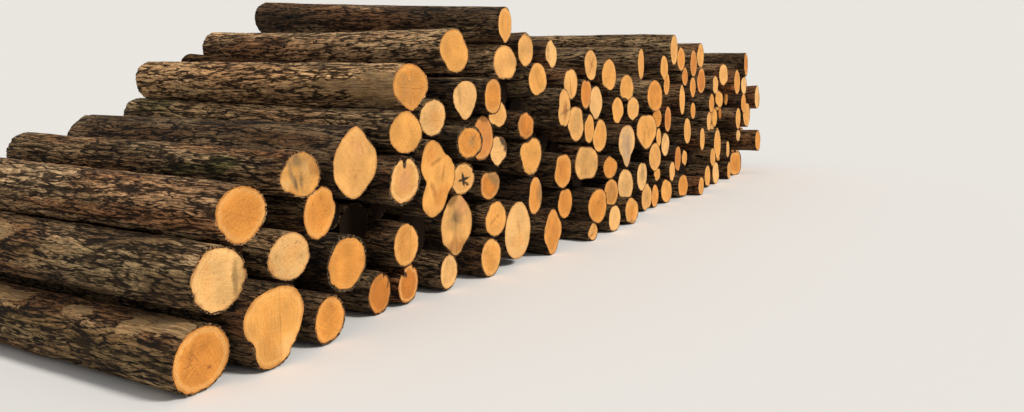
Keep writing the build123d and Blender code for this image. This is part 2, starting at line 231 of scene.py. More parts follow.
def measured(corners, triangles, waves):
    """What is needed to draw one log: its end planes and three slices."""
    front, front_way = end_plane(corners, triangles, -1)
    back, back_way = end_plane(corners, triangles, 1)
    used = corners[np.unique(triangles)]
    half = (used[:, 0].max() - used[:, 0].min()) / 2
    inset = INSET + half * abs(front_way[0] / front_way[1])
    depths = np.array([front[1] + inset, (front[1] + back[1]) / 2, back[1] - INSET])
    slices = [slice_waves(corners, triangles, y, waves) for y in depths]
    outline = np.array([w for _, w in slices])
    return {
        "front": (front, front_way),
        "back": (back, back_way),
        "depths": depths,
        "centres": np.array([c for c, _ in slices]),
        "waves": outline,
        "radius": float(outline[:, 0].real.mean()),
    }


def parabola(depths, y):
    """Weights of the three slices at a depth, for the parabola through them."""
    a, b, c = depths
    first = (y - b) * (y - c) / ((a - b) * (a - c))
    second = (y - a) * (y - c) / ((b - a) * (b - c))
    return np.stack([first, second, 1.0 - first - second], axis=-1)


def radii(log, angles):
    """Radius of each of the three slices at the given angles."""
    steps = np.arange(log["waves"].shape[1])
    turn = np.exp(1j * steps[:, None] * angles)
    scale = np.where(steps == 0, 1.0, 2.0)[:, None]
    return (log["waves"] @ (scale * turn)).real


def on_plane(plane, x, z):
    """Depth at which a line along Y meets an end plane."""
    point, way = plane
    return point[1] - ((x - point[0]) * way[0] + (z - point[2]) * way[2]) / way[1]


def blend_colour(under, over, share):
    """The colour over laid on the colour under by a share that may differ from point to point."""
    return under + (np.asarray(over) - under) * np.asarray(share)[..., None]


def patch(across, along, spot, wander, soft=0.0):
    """A soft-edged turned ellipse: 1 inside, 0 outside, its edge shifted by the wander."""
    x, z, width, height, turn = spot
    c, s = math.cos(math.radians(turn)), math.sin(math.radians(turn))
    dx, dz = across - x, along - z
    reach = np.hypot((dx * c + dz * s) / width, (dz * c - dx * s) / height)
    return 1.0 - smooth(0.75 - soft, 1.15 + soft / 2, reach + wander)


# Marks on a face: place across and up from the pith and half sizes, in shares of the radius, the turn in
# degrees, the colour and its strength
FACE_MARKS = {
    "corner_log": [
        (-0.12, 0.12, 0.52, 0.6, -20, AMBER, 0.4),
        (-0.36, 0.16, 0.13, 0.5, -20, RUST, 0.42),
        (0.15, 0.4, 0.28, 0.14, 40, RUST, 0.3),
        (0.34, -0.24, 0.09, 0.07, 0, RUST, 0.6),
    ],
    "corner_second_log": [
        (0.5, 0.0, 0.12, 0.66, 5, DRAB, 0.85),
        (0.68, 0.12, 0.12, 0.55, 8, GREY, 0.45),
        (0.6, -0.7, 0.15, 0.12, 35, BLACK, 0.85),
        (0.86, 0.1, 0.1, 0.6, 5, RUST, 0.45),
        (-0.45, 0.1, 0.16, 0.7, 5, HONEY, 0.3),
    ],
    "corner_third_log": [(0.15, -0.05, 0.55, 0.4, 10, AMBER, 0.3), (0.1, 0.75, 0.5, 0.12, -20, RUST, 0.25)],
    "pear_log": [(-0.25, 0.1, 0.12, 0.75, 8, AMBER, 0.25), (0.45, -0.55, 0.35, 0.3, 0, CREAM, 0.75)],
    "leaning_log": [(0.1, 0.05, 0.6, 0.35, 42, HONEY, 0.3), (-0.8, -0.25, 0.2, 0.5, 20, AMBER, 0.6)],
    "weathered_log": [
        (0.0, 0.1, 0.95, 0.9, 0, DRAB, 0.42),
        (-0.16, 0.58, 0.16, 0.26, 20, UMBER, 0.45),
        (-0.2, 0.5, 0.34, 0.34, 20, GREY, 0.7),
        (-0.24, -0.3, 0.1, 0.5, 20, GREY, 0.9),
        (-0.16, -0.42, 0.05, 0.28, 18, UMBER, 0.45),
        (-0.42, 0.05, 0.09, 0.5, 12, GREY, 0.6),
        (0.06, -0.35, 0.1, 0.4, 5, GREY, 0.7),
        (0.2, 0.45, 0.12, 0.3, 0, GREY, 0.45),
        (0.66, 0.3, 0.26, 0.6, 0, RUST, 0.5),
        (-0.6, -0.4, 0.28, 0.26, 0, CREAM, 0.7),
        (0.25, 0.05, 0.16, 0.4, 10, CREAM, 0.35),
    ],
    "almond_log": [(0.15, 0.45, 0.3, 0.4, 10, ROSE, 0.45), (0.05, -0.35, 0.07, 0.1, 0, RUST, 0.4)],
    "tucked_log": [(0.0, -0.15, 0.4, 0.35, 30, AMBER, 0.35)],
    "barked_wedge_log": [
        (0.0, 0.0, 0.75, 0.75, 0, DRAB, 0.4),
        (-0.25, 0.15, 0.16, 0.55, 10, GREY, 0.28),
        (0.3, -0.2, 0.2, 0.55, 10, AMBER, 0.3),
    ],
    "notched_log": [(0.0, -0.05, 0.52, 0.55, 0, ROSE, 0.7), (0.0, 0.7, 0.13, 0.26, 0, BLACK, 0.95)],
    "low_pair_log_1": [(0.62, 0.42, 0.05, 0.38, -8, BLACK, 0.85), (-0.1, 0.75, 0.5, 0.28, 0, RUST, 0.5)],
    "low_pair_log_2": [(-0.42, 0.58, 0.26, 0.16, -30, BLACK, 0.95)],
    "tilted_log": [(-0.35, 0.0, 0.18, 0.75, -8, AMBER, 0.4)],
    "cracked_log": [
        (0.12, 0.02, 0.42, 0.1, 12, BLACK, 0.95),
        (0.06, 0.04, 0.12, 0.36, 12, BLACK, 0.95),
        (0.32, -0.24, 0.2, 0.08, -35, BLACK, 0.85),
    ],
    "shield_log": [
        (-0.05, 0.42, 0.32, 0.05, 15, RUST, 0.65),
        (0.3, 0.1, 0.05, 0.5, -15, RUST, 0.55),
        (-0.2, -0.35, 0.1, 0.3, 30, RUST, 0.55),
        (0.25, -0.5, 0.42, 0.3, 35, AMBER, 0.75),
        (-0.3, 0.65, 0.4, 0.25, 25, AMBER, 0.55),
    ],
    "spotted_log": [
        (0.0, 0.2, 0.55, 0.48, 0, DRAB, 0.6),
        (0.03, 0.2, 0.3, 0.22, 0, UMBER, 0.55),
        (0.35, 0.5, 0.4, 0.35, 20, ROSE, 0.6),
        (-0.02, -0.75, 0.5, 0.28, 0, RUST, 0.65),
    ],
    "stained_log": [(0.1, 0.1, 0.4, 0.35, 30, DRAB, 0.55), (0.3, 0.3, 0.05, 0.4, -40, RUST, 0.5)],
    "recessed_log": [(0.15, 0.0, 0.5, 0.5, 0, HONEY, 0.35)],
    "pointed_log": [(-0.1, 0.0, 0.35, 0.45, 0, ROSE, 0.25), (-0.35, 0.1, 0.12, 0.5, 12, UMBER, 0.25)],
    "bay_2_third_2": [(0.78, 0.66, 0.6, 0.72, 30, BARK_DARK, 1.0)],
    "bay_2_third_1": [(0.35, 0.55, 0.7, 0.4, -20, GREY, 0.85), (0.75, 0.1, 0.25, 0.6, 0, GREY, 0.7)],
    "bay_2_third_0": [(0.0, 0.0, 0.9, 0.9, 0, ROSE, 0.35)],
    "bay_2_second_0": [(-0.1, 0.0, 0.45, 0.1, 25, RUST, 0.5)],
    "bay_2_second_1": [(0.05, 0.15, 0.12, 0.3, 10, RUST, 0.45), (0.1, -0.4, 0.5, 0.3, 0, HONEY, 0.4)],
    "bay_2_second_2": [(0.72, 0.15, 0.3, 0.9, 0, GREY, 0.8), (0.25, 0.1, 0.14, 0.35, 5, RUST, 0.55)],
    "bay_2_ground_1": [(0.05, 0.1, 0.16, 0.24, 0, RUST, 0.55), (-0.8, 0.1, 0.12, 0.1, 0, UMBER, 0.8)],
    "bay_2_fourth_3": [(0.0, 0.0, 0.12, 0.55, 25, RUST, 0.4)],
    "bay_2_top_2": [(0.0, 0.1, 0.35, 0.45, 0, DRAB, 0.4), (0.2, 0.9, 0.8, 0.16, -10, UMBER, 0.75)],
    "bay_2_top_3": [(-0.6, 0.3, 0.25, 0.6, 15, GREY, 0.5)],
    "bay_3_top_1": [(0.1, 0.0, 0.1, 0.7, -30, RUST, 0.65), (0.1, 0.1, 0.5, 0.08, -40, RUST, 0.5)],
    "bay_3_top_0": [(0.0, -0.1, 0.1, 0.7, 10, RUST, 0.55)],
    "bay_3_fifth_0": [(0.1, -0.2, 0.75, 0.1, 10, UMBER, 0.7), (0.1, -0.1, 0.3, 0.5, 0, RUST, 0.7)],
    "bay_3_fourth_0": [(0.1, 0.0, 0.6, 0.7, 0, DRAB, 0.55)],
    "bay_3_third_0": [(0.05, 0.0, 0.3, 0.5, 0, AMBER, 0.75), (-0.25, 0.2, 0.12, 0.4, 15, RUST, 0.35)],
    "bay_3_third_1": [(0.0, 0.0, 0.85, 0.85, 0, DRAB, 0.55), (-0.1, -0.1, 0.4, 0.5, 0, RUST, 0.22)],
    "bay_3_third_2": [(0.0, 0.0, 0.5, 0.55, 0, AMBER, 0.55)],
    "bay_3_third_3": [(0.0, -0.05, 0.72, 0.95, 0, MAUVE, 0.9), (0.15, 0.0, 0.2, 0.5, 8, UMBER, 0.25)],
    "bay_3_second_1": [(0.05, 0.12, 0.07, 0.22, -50, UMBER, 0.9), (0.0, 0.0, 0.55, 0.55, 0, AMBER, 0.5)],
    "bay_3_second_2": [(0.0, 0.0, 0.8, 0.8, 0, DRAB, 0.45), (0.0, 0.35, 0.08, 0.4, 0, RUST, 0.6)],
    "bay_3_second_3": [(0.1, -0.05, 0.55, 0.65, 0, DRAB, 0.4)],
    "bay_3_ground_0": [(-0.2, -0.3, 0.8, 0.12, 20, RUST, 0.7), (0.3, 0.3, 0.12, 0.5, 0, RUST, 0.5)],
    "bay_3_ground_2": [(0.1, -0.1, 0.45, 0.5, 0, AMBER, 0.6), (0.0, -0.85, 0.4, 0.2, 0, UMBER, 0.7)],
    "bay_4_second_0": [(0.1, 0.0, 0.55, 0.75, 0, GREY, 0.55)],
    "bay_4_fourth_1": [(0.0, 0.1, 0.06, 0.7, 20, RUST, 0.5), (-0.3, -0.2, 0.06, 0.6, -12, RUST, 0.5)],
    "bay_4_ground_0": [(0.0, 0.0, 0.7, 0.8, 0, DRAB, 0.45)],
    "bay_6_ground_2": [(0.0, 0.0, 0.5, 0.06, 10, RUST, 0.55), (0.2, 0.0, 0.08, 0.6, 0, RUST, 0.4)],
    "bay_6_fourth_2": [(0.5, 0.0, 0.3, 0.8, 0, MOSS, 0.45)],
}

# Marks on bark: turn round the log from straight right over the top, in degrees, and depth behind the face in
# metres, with half sizes in degrees and metres, what shows there, and its strength
BARK_MARKS = {
    "corner_log": [
        (112, 0.25, 36, 0.42, "peel", 0.9),
        (118, 0.98, 20, 0.18, "peel", 0.95),
        (112, 2.05, 27, 0.8, "peel", 1.0),
        (165, 1.3, 26, 1.6, MOSS, 0.28),
    ],
    "corner_second_log": [
        (140, 1.95, 13, 0.24, "peel", 0.95),
        (158, 1.15, 6, 0.16, "peel", 0.75),
        (175, 1.0, 30, 1.0, MOSS, 0.22),
    ],
    "corner_third_log": [
        (170, 1.22, 9, 0.1, "peel", 0.7),
        (200, 0.8, 26, 1.2, BARK_RED, 0.75),
        (120, 1.8, 22, 0.45, BARK_SILVER, 0.45),
        (115, 1.1, 16, 0.35, BARK_RED, 0.55),
    ],
    "weathered_log": [
        (160, 0.5, 24, 0.17, MOSS, 0.95),
        (176, 0.85, 20, 0.22, MOSS, 0.75),
        (112, 0.6, 20, 0.9, BARK_RED, 0.65),
        (112, 2.2, 14, 0.22, "peel", 0.65),
        (100, 2.75, 10, 0.14, "peel", 0.75),
        (112, 2.3, 22, 0.5, BARK_RED, 0.5),
    ],
    "flared_butt_log": [
        (110, 2.6, 50, 0.35, MOSS, 0.7),
        (172, 2.55, 12, 0.1, "peel", 0.85),
        (120, 0.9, 20, 1.0, BARK_SILVER, 0.3),
    ],
    "barked_wedge_log": [
        (186, 0.16, 40, 0.34, "peel", 1.0),
        (178, 0.62, 16, 0.36, "peel", 0.9),
        (100, 0.9, 14, 1.0, BARK_SILVER, 0.5),
    ],
    "leading_top_log": [(105, 1.2, 26, 0.8, BARK_SILVER, 0.45), (165, 2.2, 30, 0.5, BARK_RED, 0.5)],
    "leaning_log": [(70, 0.15, 40, 0.3, "peel", 0.75)],
    "bay_2_top_1": [(110, 1.0, 26, 1.3, BARK_RED, 0.5), (100, 2.2, 20, 0.8, MOSS, 0.35)],
}

# Dents of an outline: the turn round the log and half width in degrees, then the depth and how far it runs
# back in metres
DENTS = {
    "notched_log": [(92, 11, 0.046, 0.05)],
    "low_pair_log_2": [(127, 11, 0.045, 0.12), (60, 6, 0.02, 0.1)],
    "low_pair_log_1": [(66, 5, 0.03, 0.2)],
    "shield_log": [
        (192, 26, 0.072, 0.9),
        (64, 34, 0.048, 0.7),
        (24, 7, 0.012, 0.2),
        (318, 26, 0.034, 0.7),
    ],
    "almond_log": [
        (52, 30, 0.022, 0.9),
        (122, 34, 0.02, 0.9),
        (238, 30, 0.014, 0.9),
        (305, 34, 0.024, 0.9),
        (270, 40, 0.022, 0.9),
    ],
    "spotted_log": [(240, 22, 0.03, 0.6), (300, 20, 0.026, 0.6)],
    "corner_second_log": [
        (12, 6, 0.012, 0.3),
        (338, 7, 0.016, 0.3),
        (200, 9, 0.01, 0.3),
        (142, 24, 0.018, 0.5),
    ],
    "pear_log": [(207, 33, 0.046, 1.0), (312, 8, 0.014, 0.5)],
    "tucked_log": [(100, 14, 0.014, 0.4), (25, 12, 0.012, 0.4)],
    "pointed_log": [(238, 26, 0.022, 0.5), (130, 26, 0.012, 0.5)],
    "weathered_log": [(150, 42, 0.02, 0.7), (246, 30, 0.012, 0.7)],
    "leading_top_log": [(36, 30, 0.024, 0.7), (216, 30, 0.028, 0.7)],
    "barked_wedge_log": [(236, 34, 0.024, 0.8), (314, 34, 0.016, 0.8)],
    "flared_butt_log": [(132, 34, 0.014, 0.6), (44, 34, 0.012, 0.6)],
    "thick_bark_log": [(250, 20, 0.012, 0.4), (150, 24, 0.01, 0.4)],
    "corner_third_log": [(310, 30, 0.01, 0.5), (220, 26, 0.01, 0.5)],
    "cracked_log": [(20, 9, 0.014, 0.2)],
    "bay_2_top_0": [(238, 32, 0.024, 0.5), (302, 32, 0.018, 0.5)],
    "bay_2_top_3": [(60, 30, 0.026, 0.5), (236, 30, 0.026, 0.5)],
    "bay_2_fourth_0": [(0, 34, 0.012, 0.5), (180, 34, 0.012, 0.5)],
    "bay_2_fourth_2": [(350, 22, 0.016, 0.4), (60, 30, 0.014, 0.4)],
    "bay_2_third_3": [(112, 30, 0.034, 0.4), (22, 26, 0.014, 0.4), (200, 28, 0.016, 0.4)],
    "bay_2_ground_1": [
        (45, 30, 0.02, 0.5),
        (135, 30, 0.016, 0.5),
        (225, 30, 0.03, 0.5),
        (318, 30, 0.034, 0.5),
    ],
    "bay_3_third_1": [
        (90, 34, 0.034, 0.4),
        (48, 28, 0.03, 0.4),
        (150, 26, 0.02, 0.4),
        (270, 34, 0.022, 0.4),
    ],
    "bay_3_third_3": [(228, 38, 0.055, 0.5), (312, 38, 0.06, 0.5)],
    "bay_3_ground_2": [(250, 24, 0.02, 0.4), (60, 30, 0.016, 0.4)],
    "bay_4_fourth_1": [(90, 34, 0.02, 0.4), (222, 34, 0.04, 0.4), (318, 34, 0.045, 0.4)],
    "bay_6_ground_2": [(90, 34, 0.02, 0.4), (180, 34, 0.02, 0.4), (0, 34, 0.02, 0.4)],
}

# Faces with a colour of their own; the others take one of the choices by chance
FACES_BY_COLOUR = {
    HONEY: (
        "corner_log", "corner_third_log", "low_small_log", "tucked_log", "thick_bark_log",
        "barked_wedge_log", "stained_log", "bay_2_fourth_0", "bay_2_second_2", "bay_2_ground_1",
        "bay_3_third_0", "bay_3_third_2", "bay_3_second_0", "bay_3_second_1", "bay_3_second_2",
        "bay_4_top_1",
    ),
    CREAM: (
        "corner_second_log", "leaning_log", "pale_low_log", "recessed_log", "pointed_log", "bay_2_top_3",
        "bay_2_third_2", "bay_2_second_1", "bay_3_third_3", "bay_3_second_3", "bay_3_ground_1",
        "bay_4_second_0", "bay_6_fourth_2",
    ),
    STRAW: (
        "pear_log", "weathered_log", "flared_butt_log", "shield_log", "bay_2_top_0", "bay_2_fourth_3",
        "bay_2_third_3", "bay_2_second_0", "bay_2_ground_0", "bay_3_ground_2", "bay_4_fourth_1",
        "bay_4_ground_2",
    ),
    BUFF: (
        "almond_log", "notched_log", "spotted_log", "cracked_log", "bay_2_top_1", "bay_2_top_2",
        "bay_2_fourth_1", "bay_3_top_0", "bay_3_top_1", "bay_3_fifth_0", "bay_3_fourth_0",
        "bay_3_third_1", "bay_3_ground_0", "bay_4_ground_0",
    ),
    AMBER: (
        "low_pair_log_1", "low_pair_log_2", "bay_2_fourth_2", "bay_2_third_0", "bay_2_third_1",
    ),
}
FACE_COLOURS = {name: colour for colour, names in FACES_BY_COLOUR.items() for name in names}
FACE_CHOICE = (HONEY, STRAW, BUFF, HONEY, AMBER, STRAW, BUFF, HONEY, CREAM, STRAW)
BARK_CHOICE = (BARK_GREY, BARK_GREY, BARK_DARK, BARK_RED, BARK_GREY, BARK_DARK)
BARK_COLOURS = {
    "corner_log": BARK_BROWN,
    "corner_second_log": BARK_BROWN,
    "corner_third_log": BARK_PALE,
    "weathered_log": BARK_GREY,
    "flared_butt_log": BARK_GREY,
    "barked_wedge_log": BARK_TAN,
    "leading_top_log": BARK_PALE,
    "bay_2_top_1": BARK_PALE,
    "leaning_log": BARK_GREY,
}
# Painted shade on bark, as shares of its lit colour: between other logs, in the gaps behind the faces, and at
# the open far end
DEEP_BARK_SHADE = 0.47
SHADED_BARK = 0.27
FAR_BARK_SHADE = 0.68

# Bark round a sawn face where it is thick, in metres
RIMS = {"thick_bark_log": 0.026, "notched_log": 0.024, "cracked_log": 0.018, "stained_log": 0.022}

# A face's darker heart, paler sapwood and radial checks, each from 0 to 1
FACE_ZONES = {
    "corner_log": (0.35, 0.42, 0.48),
    "corner_second_log": (0.0, 0.15, 0.0),
    "corner_third_log": (0.25, 0.35, 0.25),
    "pear_log": (0.1, 0.2, 0.0),
    "leaning_log": (0.0, 0.3, 0.0),
    "weathered_log": (0.0, 0.0, 0.0),
    "almond_log": (0.15, 0.1, 0.1),
    "notched_log": (0.4, 0.9, 0.1),
    "shield_log": (0.0, 0.0, 0.0),
    "spotted_log": (0.0, 0.3, 0.0),
    "cracked_log": (0.3, 0.5, 0.3),
    "tucked_log": (0.2, 0.3, 0.45),
    "thick_bark_log": (0.1, 0.1, 0.15),
    "recessed_log": (0.3, 0.2, 0.35),
}

# Brown scratches on a face, from 0 to 1
SCRATCHES = {
    "leaning_log": 0.75,
    "tucked_log": 0.6,
    "low_small_log": 0.5,
    "almond_log": 0.3,
    "corner_log": 0.2,
    "pear_log": 0.0,
}

# Saw lines: the turn of the line from upright in degrees, its place to the right of the pith in shares of
# the radius, and how strongly it shows, 0 where no line should come by chance
SAW_LINES = {
    "pear_log": (2, 0.18, 0.6),
    "tilted_log": (-4, 0.22, 0.9),
    "corner_third_log": (70, -0.1, 0.3),
    "flared_butt_log": (0, 0.1, 0.0),
}


def luck(number, kind):
    """A number from 0 to 1 that is always the same for the same log and kind of chance."""
    return float(lattice(*np.array([[number], [kind], [kind + 2]]))[0])


def pick(choices, number, kind):
    """One of the choices, by the log's luck."""
    return choices[int(luck(number, kind) * (len(choices) - 0.01))]


def hidden_face(node):
    """Whether a log's front face lies in a gap of the heap, where its wood and bark are painted dark as
    shade.
    """
    return "_inner" in node and not node.startswith("bay_6")


def grid_of(node):
    """The grid for the logs of a node, finer where they show more."""
    if node.endswith("_inner"):
        return HIDDEN
    if node in SIDES_IN_VIEW:
        return FINEST
    return PLAIN if node.startswith("bay_") else FINE


def bark_relief(points, number):
    """Height of bark from 0 to 1: two nets of furrows drawn out along the log, bent by slow noise."""
    bend = drawn_noise(points, 5.0, 2.6, number)[..., None] - 0.5
    bent = points + bend * np.array([0.05, 0.0, 0.05])
    wide = ridges(drawn_noise(bent, 20.0, 2.2, number * 7.3))
    narrow = ridges(drawn_noise(bent, 47.0, 5.0, number * 3.1))
    return 0.55 * wide + 0.45 * narrow


def turned_from(degrees, turn):
    """Degrees from one turn round the log to others, from -180 to 180."""
    return (degrees - turn + 180.0) % 360.0 - 180.0


def chance_dent(number, kind):
    """A dent's turn, half width, depth and run by the log's luck."""
    turn, half, depth = (luck(number, kind + k) for k in range(3))
    return 360.0 * turn, 24.0 + 12.0 * half, 0.028 * depth, 0.4


def dents(node, number, degrees, behind):
    """How far a log's dents take the radius in: each is a rounded dip in the turn that fades out along the
    log. A log past the near end without dents of its own gets three by chance."""
    taken = np.zeros_like(behind)
    own = DENTS.get(node, ())
    if not own and node.startswith("bay_") and "_inner" not in node:
        own = [chance_dent(number, kind) for kind in (51, 55, 59)]
    for turn, half, depth, run in own:
        dip = 1.0 - smooth(0.0, 1.0, np.abs(turned_from(degrees, turn)) / half / 1.3)
        taken = taken + depth * dip * (1.0 - smooth(0.35, 1.0, behind / run))
    return taken


def bark_coat(node, number, shell, degrees, behind):
    """Colour of the bark, how bare each point is, and the colour that the log starts from."""
    # Painted shade: bark between other logs, in the gaps behind the faces and at the far end keeps only a
    # share of its lit colour; the near logs and the tops keep it whole
    light = FAR_BARK_SHADE if node[:5] in ("bay_5", "bay_6") else DEEP_BARK_SHADE
    if node in BARK_COLOURS or "top" in node:
        light = 1.0
    if hidden_face(node):
        light = SHADED_BARK
    base = np.array(BARK_COLOURS.get(node, pick(BARK_CHOICE, number, 3))) * light
    tone = drawn_noise(shell, 6.0, 1.3, number * 1.7)[..., None]
    bark = base * (0.45 + 1.1 * tone)
    warm = smooth(0.45, 0.75, drawn_noise(shell, 4.0, 0.9, number * 2.9))
    bark = blend_colour(bark, np.array(BARK_RED) * light, 0.45 * warm)
    pale = smooth(0.52, 0.8, drawn_noise(shell, 7.0, 1.6, number * 4.3))
    bark = blend_colour(bark, np.array(BARK_SILVER) * light, 0.45 * pale)
    wander = 0.9 * (drawn_noise(shell, 13.0, 5.0, 31.0) - 0.5)
    wander = wander + 0.6 * (drawn_noise(shell, 31.0, 14.0, 17.0) - 0.5)
    bare = np.zeros_like(behind)
    for *spot, shows, strength in BARK_MARKS.get(node, ()):
        peeled = shows == "peel"
        turn = turned_from(degrees, spot[0]) + spot[0]
        laid = patch(turn, behind, (*spot, 0), wander, 0.35 if peeled else 0.0) * strength
        if peeled:
            bare = np.maximum(bare, laid)
        else:
            bark = blend_colour(bark, shows, laid)
    return bark, bare, base


def sawn_colour(node, number, plan, share, mean):
    """Colour of sawn wood: a darker heart, paler sapwood, the marks and a brown line under the bark."""
    hidden = hidden_face(node)
    # A face in a gap of the heap is painted near black as shade, with no sapwood, and its rim keeps that
    # colour instead of a brown line
    start = np.array(GAP_SHADE_WOOD if hidden else FACE_COLOURS.get(node, pick(FACE_CHOICE, number, 7)))
    chance = (0.5 * luck(number, 13), 0.0 if hidden else 0.55 * luck(number, 17))
    heart, sapwood = FACE_ZONES.get(node, chance)[:2]
    blotch = noise(plan * np.array([11.0, 11.0, 1.0]))
    stray = noise(plan * np.array([30.0, 30.0, 1.0]) + np.array([0.0, 0.0, 5.0])) - 0.5
    streak = noise(plan * np.array([48.0, 8.0, 1.0]) + 9.0)
    wood = start * (0.8 + 0.36 * blotch[..., None])
    inner = 1.0 - smooth(0.68, 0.84, share + 0.2 * stray)
    wood = blend_colour(wood, start * np.array([0.8, 0.7, 0.58]), heart * inner)
    ring = smooth(0.78, 0.87, share + 0.05 * stray) * (1.0 - smooth(0.95, 1.0, share))
    wood = blend_colour(wood, CREAM, sapwood * ring)
    for *spot, colour, strength in FACE_MARKS.get(node, ()):
        sharp = colour in (BLACK, BARK_DARK)
        laid = patch(plan[..., 0] / mean, plan[..., 1] / mean, spot, 0.6 * stray, 0.0 if sharp else 0.4)
        laid = laid if sharp else laid * (0.55 + 0.75 * streak)
        wood = blend_colour(wood, colour, np.minimum(laid * strength, 1.0))
    return blend_colour(wood, start if hidden else RUST, 0.5 * smooth(0.955, 1.0, share + 0.05 * stray))


def log_surface(log, node, number, grid):
    """Rows of points of one log, its two piths, which rows are sawn wood, and what its finishes read at each
    point."""
    around, along, across, across_back = grid
    angles = (np.arange(around) + 0.5) * 2 * math.pi / around - math.pi / 2
    heading = np.stack([np.cos(angles), np.sin(angles)], axis=1)
    degrees = np.degrees(angles) % 360.0
    slices = radii(log, angles)
    front_rim, back_rim = (log["centres"][k] + slices[k][:, None] * heading for k in (0, 2))
    front = on_plane(log["front"], *front_rim.T)
    back = on_plane(log["back"], *back_rim.T)
    share = np.linspace(0.0, 1.0, along) ** ROW_CROWDING
    y = front + (back - front) * share[:, None]
    behind = y - front
    weights = parabola(log["depths"], y)
    centre = weights @ log["centres"]
    radius = (weights * slices.T).sum(axis=-1)
    mean = log["radius"]

    def placed(reach):
        """Points at the given radius round the log's line."""
        x = centre[..., 0] + reach * heading[:, 0]
        z = centre[..., 1] + reach * heading[:, 1]
        return np.stack([x, y, z], axis=-1)

    shell = placed(radius)
    relief = bark_relief(shell, number)
    bark, bare, base = bark_coat(node, number, shell, degrees, behind)
    furrow = 0.0 if grid == HIDDEN else FURROW_DEPTH
    swell = LUMPS if grid in (FINEST, FINE) else 0.0
    trim = radius - dents(node, number, degrees, behind) - swell * drawn_noise(shell, 7.0, 2.2, number)
    side = placed(trim - furrow * (1.0 - relief) * (1.0 - bare) - PEEL_DEPTH * bare)
    rim = RIMS.get(node, BARK_THICKNESS * (0.7 + 0.8 * luck(number, 19)))

    def face(plane, row, centre_at, far, steps):
        """Rows of a sawn face from near the pith to the bark's edge, at the shares of the way out. The wood's
        edge is smooth and keeps inside the furrows."""
        stray = np.array([luck(number, 11 + far), luck(number, 12 + far)]) - 0.5
        pith = centre_at + stray * PITH_RANGE * mean
        out = np.linspace(0.0, 1.0, steps + 1)[1:] ** RING_CROWDING
        edge = side[row][:, [0, 2]]
        worn = level_noise(heading, 7.0, number + 0.5)
        reach = np.hypot(*(edge - centre_at).T)
        wood = np.minimum(trim[row] - rim * (0.5 + worn), reach - LEAST_BARK)
        wood_edge = wood / reach
        lip = 0.5 + wood_edge / 2
        shares = np.concatenate([out[:, None] * wood_edge, [wood_edge + RIM_STEP / mean, lip]])
        flat = pith + shares[..., None] * (edge - pith)
        y_flat = on_plane(plane, flat[..., 0], flat[..., 1])
        ragged = level_noise(flat, 40.0, number)
        inward = -1.0 if far else 1.0
        y_flat[-RIM_ROWS:] += inward * (RIM_STEP + RAGGED * ragged[-RIM_ROWS:])
        points = np.stack([flat[..., 0], y_flat, flat[..., 1]], axis=-1)
        middle = np.array([pith[0], on_plane(plane, *pith), pith[1]])
        return points, middle, shares, pith

    front_rows, front_pith, front_share, pith = face(log["front"], 0, centre[0].mean(axis=0), 0, across)
    back_rows, back_pith, back_share, back_at = face(log["back"], -1, centre[-1].mean(axis=0), 1, across_back)
    rows = np.concatenate([front_rows, side, back_rows[::-1]])
    rows[..., 2] = np.maximum(rows[..., 2], CLEARANCE)
    ahead, astern = len(front_rows), len(back_rows)
    spot = rows.shape[:2]
    out = np.concatenate([front_share, np.ones((along, around)), back_share[::-1]])
    plan = np.zeros(rows.shape)
    plan[:, :, 2] = number
    plan[:ahead, :, :2] = front_rows[..., [0, 2]] - pith
    plan[-astern:, :, :2] = back_rows[::-1][..., [0, 2]] - back_at
    wood_share = np.minimum(out / (1.0 - rim / mean), 1.0)
    wood = sawn_colour(node, number, plan, wood_share, mean)
    wood[-astern:] = sawn_colour("", number, plan[-astern:], wood_share[-astern:], mean)

    lip_colour = 0.28 * np.array(BARK_SILVER) if node in RIMS else base + 0.3 * np.array(BARK_RED)
    # Painted shade: the bark rims of faces in the heap's gaps are darker still
    if hidden_face(node):
        lip_colour = 0.6 * base
    bark_rows = np.tile(lip_colour, (*spot, 1))
    bark_rows[ahead:-astern] = bark
    height = np.full(spot, LIP_RELIEF)
    height[ahead:-astern] = relief
    peel = np.zeros(spot)
    peel[ahead:-astern] = bare

    chance_line = (360.0 * luck(number, 23), luck(number, 29) - 0.5, 0.35 * luck(number, 31))
    turn, offset, shows = SAW_LINES.get(node, chance_line)
    way = math.radians(turn)
    cut = np.tile([math.cos(way), math.sin(way), offset * mean], (*spot, 1))
    checks = FACE_ZONES.get(node, (0.0, 0.0, 0.5 * luck(number, 37) ** 2))[2]
    traits = np.tile([shows, checks, SCRATCHES.get(node, 0.6 * luck(number, 41) ** 2)], (*spot, 1))
    sawn = np.zeros(len(rows) - 1, bool)
    sawn[: ahead - RIM_ROWS - 1] = True
    sawn[RIM_ROWS + 1 - astern:] = True
    fields = {
        "ring": out * mean,
        "plan": plan,
        "wood": wood,
        "bark": bark_rows,
        "height": height,
        "peel": peel,
        "cut": cut,
        "traits": traits,
    }
    return rows, (front_pith, back_pith), sawn, fields


def skin(rows, sawn, first):
    """Faces of one log, its points numbered from first: quads between rows and a fan round each pith."""
    count, around = rows.shape[:2]
    here = np.arange(around)
    beside = (here + 1) % around
    row = first + np.arange(count - 1)[:, None] * around
    quads = np.stack([row + here, row + around + here, row + around + beside, row + beside], axis=-1)
    material = np.repeat(~sawn, around).astype(np.int32)
    front = first + count * around
    last = first + (count - 1) * around
    fan = np.stack([np.full(around, front), first + here, first + beside], axis=-1)
    far = np.stack([np.full(around, front + 1), last + beside, last + here], axis=-1)
    return quads.reshape(-1, 4), material, np.vstack([fan, far])


def spread(field):
    """A field of a log's points as rows of numbers, with the two piths taking the value beside them."""
    values = field.reshape(-1, 1 if field.ndim == 2 else 3)
    return np.vstack([values, values[:1], values[-1:]])


def put(name, data):
    """A new object in the scene."""
    made = bpy.data.objects.new(name, data)
    bpy.context.scene.collection.objects.link(made)
    return made


